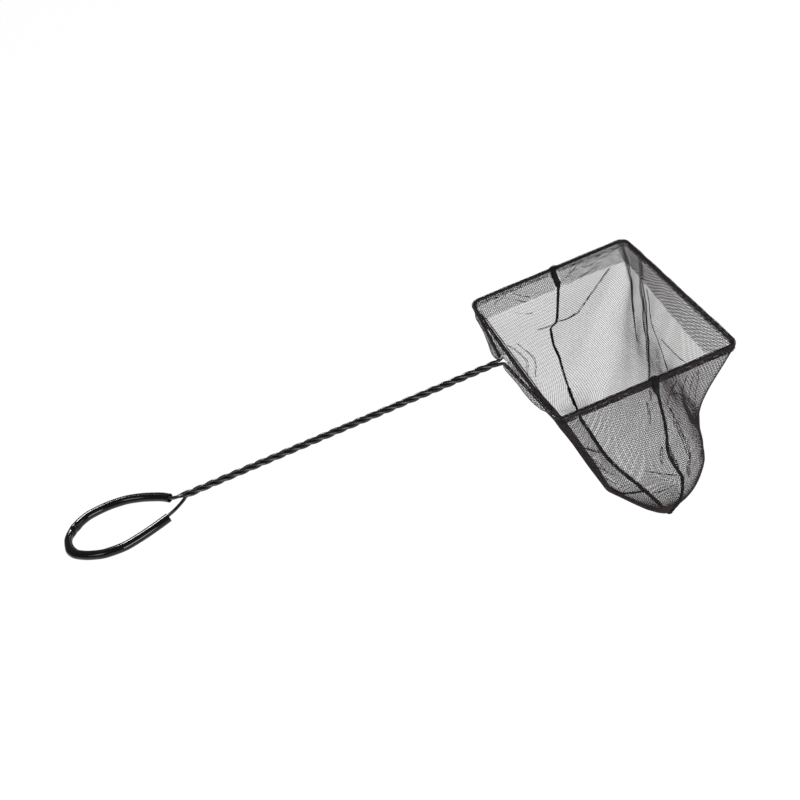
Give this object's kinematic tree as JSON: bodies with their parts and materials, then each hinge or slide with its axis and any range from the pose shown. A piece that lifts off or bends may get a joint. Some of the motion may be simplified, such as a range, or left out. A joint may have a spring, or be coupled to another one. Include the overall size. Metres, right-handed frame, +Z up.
{
  "type": "aquarium fish net",
  "caption": "Black aquarium fish net: a rectangular coated-wire hoop with a sewn nylon net bag, a twisted wire shaft and a soft sleeved hand loop.",
  "frame": {"origin": "middle of the hand loop's length, on the shaft's axis, in the plane of the hoop wire", "axes": "+X along the twisted shaft from the hand loop to the hoop, +Z up out of the bag's mouth, +Y to the left"},
  "size_m": [0.4337, 0.1648, 0.1367],
  "materials": {
    "coated_wire": "satin black plastic coat on steel wire",
    "soft_pvc": "gloss",
    "nylon_net": "fine open net",
    "folded_net": "folded net, matt",
    "sewing_thread": "matt thread"
  },
  "bodies": {
    "root": {"hoop_wire": "coated_wire", "strand_left": "coated_wire", "strand_right": "coated_wire", "strand_return": "coated_wire", "loop_wire": "coated_wire", "grip_sleeve": "soft_pvc", "net_panel_front": "nylon_net", "net_panel_back": "nylon_net", "hem_flap_front": "nylon_net", "hem_flap_back": "nylon_net", "hem_front": "folded_net", "hem_back": "folded_net", "stitching_front": "sewing_thread", "stitching_back": "sewing_thread", "side_seam_left": "sewing_thread", "side_seam_right": "sewing_thread", "bottom_seam": "sewing_thread", "seam_tack_left": "sewing_thread", "seam_tack_right": "sewing_thread"}
  },
  "joints": []
}
